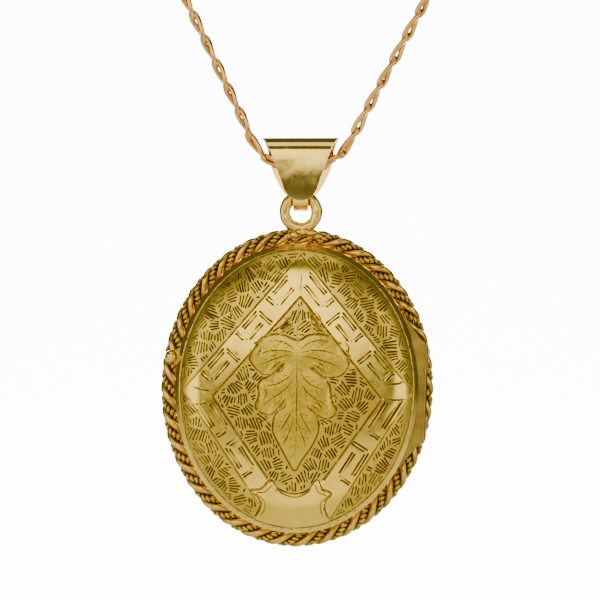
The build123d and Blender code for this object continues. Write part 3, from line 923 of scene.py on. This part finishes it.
class Finish:
    """A node material that is put together step by step on Object coordinates in millimetres."""

    def __init__(self, name):
        self.material = bpy.data.materials.new(name)
        self.material.use_nodes = True
        self.tree = self.material.node_tree
        self.shader = self.tree.nodes["Principled BSDF"]
        place = self.tree.nodes.new("ShaderNodeTexCoord")
        self.place = self.tree.nodes.new("ShaderNodeMapping")
        self.place.inputs["Scale"].default_value = (1000, 1000, 1000)
        self.tree.links.new(place.outputs["Object"], self.place.inputs["Vector"])

    def link(self, start, end):
        self.tree.links.new(start, end)

    def noise(self, scale, detail=3.0, roughness=0.5, stretch=(1, 1, 1)):
        vector = self.place.outputs["Vector"]
        if stretch != (1, 1, 1):
            mapping = self.tree.nodes.new("ShaderNodeMapping")
            mapping.inputs["Scale"].default_value = stretch
            mapping.inputs["Rotation"].default_value = (0.3, 0.5, 0.2)
            self.link(vector, mapping.inputs["Vector"])
            vector = mapping.outputs["Vector"]
        node = self.tree.nodes.new("ShaderNodeTexNoise")
        node.inputs["Scale"].default_value = scale
        node.inputs["Detail"].default_value = detail
        node.inputs["Roughness"].default_value = roughness
        self.link(vector, node.inputs["Vector"])
        return node.outputs["Fac"]

    def span(self, value, low, high, start=0.3, end=0.7):
        node = self.tree.nodes.new("ShaderNodeMapRange")
        for socket, number in (("From Min", start), ("From Max", end), ("To Min", low), ("To Max", high)):
            node.inputs[socket].default_value = number
        self.link(value, node.inputs["Value"])
        return node.outputs["Result"]

    def blend(self, share, first, second):
        node = self.tree.nodes.new("ShaderNodeMix")
        node.data_type = "RGBA"
        for socket, colour in ((node.inputs[6], first), (node.inputs[7], second)):
            if isinstance(colour, tuple):
                socket.default_value = (*colour, 1)
            else:
                self.link(colour, socket)
        self.link(share, node.inputs[0])
        return node.outputs[2]

    def combine(self, first, second, operation="ADD"):
        node = self.tree.nodes.new("ShaderNodeMath")
        node.operation = operation
        self.link(first, node.inputs[0])
        if isinstance(second, (int, float)):
            node.inputs[1].default_value = second
        else:
            self.link(second, node.inputs[1])
        return node.outputs[0]

    def attribute(self, name):
        node = self.tree.nodes.new("ShaderNodeAttribute")
        node.attribute_name = name
        return node.outputs["Fac"]

    def bump(self, height, strength, distance):
        node = self.tree.nodes.new("ShaderNodeBump")
        node.inputs["Strength"].default_value = strength
        node.inputs["Distance"].default_value = distance
        self.link(height, node.inputs["Height"])
        self.link(node.outputs["Normal"], self.shader.inputs["Normal"])


def gold(name, light, dark, shade_colour=None, smoothest=0.12, roughest=0.3, waviness=0.15, satin=None, ground=None):
    """Worked gold: two tones, wear in its polish, fine scratches, painted shade where the painted_shade
    attribute says, and painted shade on the leaf and the engraved ground.
    """
    finish = Finish(name)
    finish.shader.inputs["Metallic"].default_value = 1.0
    colour = finish.blend(finish.span(finish.noise(0.35), 0, 1), light, dark)
    rough = finish.span(finish.noise(0.9, 5), smoothest, roughest)
    # the leaf and the engraved ground get darker tones as painted shade, and are made rougher
    for zone, tone, duller in (("leaf", satin, 0.14), ("ground", ground, 0.12)):
        if tone:
            share = finish.attribute(zone)
            colour = finish.blend(share, colour, tone)
            rough = finish.combine(rough, finish.combine(share, duller, "MULTIPLY"))
    if shade_colour:
        # painted shade in grooves and gaps, darker where the painted_shade attribute is higher
        shade_share = finish.combine(finish.attribute("painted_shade"), 0.45, "POWER")
        shade_share = finish.combine(shade_share, finish.span(finish.noise(1.6, 2), 0.7, 1), "MULTIPLY")
        colour = finish.blend(shade_share, colour, shade_colour)
        rough = finish.combine(rough, finish.combine(shade_share, 0.25, "MULTIPLY"))
    finish.link(colour, finish.shader.inputs["Base Color"])
    finish.link(rough, finish.shader.inputs["Roughness"])
    scratches = finish.span(finish.noise(5, 2, 0.5, (14, 1, 0.8)), 0, 1, 0.62, 0.7)
    swells = finish.combine(finish.noise(0.8, 2), 6, "MULTIPLY")
    finish.bump(finish.combine(swells, scratches), waviness, 0.02 * mm)
    return finish.material


# the third colour of a gold is its painted shade, and the satin and ground tones are painted shade on the lid
lid_finish = gold(
    "engraved_yellow_gold", (0.82, 0.55, 0.06), (0.68, 0.44, 0.035), (0.018, 0.009, 0.001), 0.16, 0.27, 0.07,
    satin=(0.50, 0.33, 0.02), ground=(0.54, 0.35, 0.03),
)
case_finish = gold(
    "plain_yellow_gold", (0.80, 0.52, 0.06), (0.64, 0.40, 0.035), (0.05, 0.026, 0.003), 0.12, 0.28, 0.06
)
# the hinge's dark tone is painted shade for the shadowy strip beside the lid
hinge_finish = gold("hinge_gold_painted_shade", (0.34, 0.22, 0.03), (0.22, 0.13, 0.015), None, 0.24, 0.42)
rope_finish = gold(
    "rope_gold_painted_shade_in_the_grooves", (0.74, 0.45, 0.045), (0.52, 0.29, 0.02), (0.022, 0.011, 0.001),
    0.16, 0.28,
)
inner_finish = gold("satin_inner_gold", (0.70, 0.46, 0.09), (0.58, 0.36, 0.06), None, 0.28, 0.45)
solder_finish = gold("worn_solder", (0.78, 0.54, 0.08), (0.60, 0.38, 0.04), None, 0.16, 0.36, 0.5)
bail_finish = gold("bright_pale_gold", (0.86, 0.59, 0.10), (0.76, 0.48, 0.06), None, 0.07, 0.15, 0.04)
chain_finish = gold("rose_gold_links", (0.76, 0.40, 0.09), (0.60, 0.28, 0.045), None, 0.12, 0.22, 0.1)


def glass():
    finish = Finish("old_picture_glass")
    finish.shader.inputs["Base Color"].default_value = (0.97, 0.99, 0.98, 1)
    finish.shader.inputs["Transmission Weight"].default_value = 1.0
    finish.shader.inputs["IOR"].default_value = 1.5
    finish.link(finish.span(finish.noise(0.6), 0.01, 0.06), finish.shader.inputs["Roughness"])
    finish.bump(finish.noise(0.3, 1), 0.1, 0.05 * mm)
    return finish.material


def blank_card():
    finish = Finish("aged_blank_card")
    colour = finish.blend(finish.span(finish.noise(0.25, 4), 0, 1), (0.80, 0.75, 0.62), (0.70, 0.63, 0.48))
    finish.link(colour, finish.shader.inputs["Base Color"])
    finish.link(finish.span(finish.noise(4), 0.75, 0.92), finish.shader.inputs["Roughness"])
    finish.bump(finish.noise(14, 4), 0.4, 0.02 * mm)
    return finish.material


glass_finish, card_finish = glass(), blank_card()


def give(piece, material):
    piece.data.materials.clear()
    piece.data.materials.append(material)


for piece, material in (
    (curb_chain, chain_finish), (lid_skin, lid_finish), (back_skin, case_finish), (rope, rope_finish),
    (hanging_ring, solder_finish), (solder_foot, solder_finish), (polished_bail, bail_finish),
):
    give(piece, material)
for name in ("chain_end_ring_left", "chain_end_ring_right"):
    give(nodes[name], chain_finish)
for name in ("snap_lip", "back_seat", "back_frame", "lid_rim", "lid_seat", "lid_frame"):
    give(nodes[name], inner_finish)
# the hinge parts get the gold darkened with painted shade
for name in ("back_hinge_leaf", "lid_hinge_leaf", "hinge_pin"):
    give(nodes[name], hinge_finish)
for name in ("thumb_tab", "thumb_bead"):
    give(nodes[name], case_finish)
for name in ("back_glass", "lid_glass"):
    give(nodes[name], glass_finish)
for name in ("back_card", "lid_card"):
    give(nodes[name], card_finish)


# ---- floor, backdrop and light ----------------------------------------------------------------------------


def plain_wall(name, location, rotation, size, tone):
    """A flat painted board that isn't part of the locket."""
    bpy.ops.mesh.primitive_plane_add(size=size, location=location, rotation=rotation)
    board = bpy.context.object
    board.name = name
    finish = Finish(name + "_paint")
    finish.shader.inputs["Base Color"].default_value = (tone, tone, tone, 1)
    finish.link(finish.span(finish.noise(0.02), 0.85, 0.95), finish.shader.inputs["Roughness"])
    give(board, finish.material)
    return board


plain_wall("floor", (0, 0, -0.12), (0, 0, 0), 3.0, 0.86)
backdrop = plain_wall("backdrop", (0, 0.5, 0.05), (math.pi / 2, 0, 0), 0.5, 0.92)
lit_paper = backdrop.data.materials[0].node_tree.nodes["Principled BSDF"]
lit_paper.inputs["Emission Color"].default_value = (1, 1, 1, 1)
lit_paper.inputs["Emission Strength"].default_value = 12.0


def softbox(location, target, size, power):
    """A soft light aimed at a target. size is its width and height in metres, and power is in watts."""
    aim = Vector(target) - Vector(location)
    bpy.ops.object.light_add(type="AREA", location=location, rotation=aim.to_track_quat("-Z", "Y").to_euler())
    light = bpy.context.object
    light.data.shape = "RECTANGLE"
    light.data.size, light.data.size_y = size
    light.data.energy = power


middle = (0, 0, -0.02)
softbox((-0.04, -0.44, 0.12), middle, (0.36, 0.27), 0.92)
softbox((0, -0.13, -0.11), (0, 0, 0), (0.18, 0.13), 0.055)
softbox((0, -0.16, 0.40), middle, (0.40, 0.20), 0.5)
softbox((0.32, -0.24, 0.04), middle, (0.24, 0.34), 0.6)
softbox((-0.32, -0.24, 0.02), middle, (0.24, 0.34), 0.75)
world = bpy.data.worlds.new("studio_air")
bpy.context.scene.world = world
world.use_nodes = True
air = world.node_tree.nodes["Background"]
air.inputs["Color"].default_value = (0.95, 0.97, 1.0, 1)
air.inputs["Strength"].default_value = 0.13

bpy.ops.object.select_all(action="DESELECT")
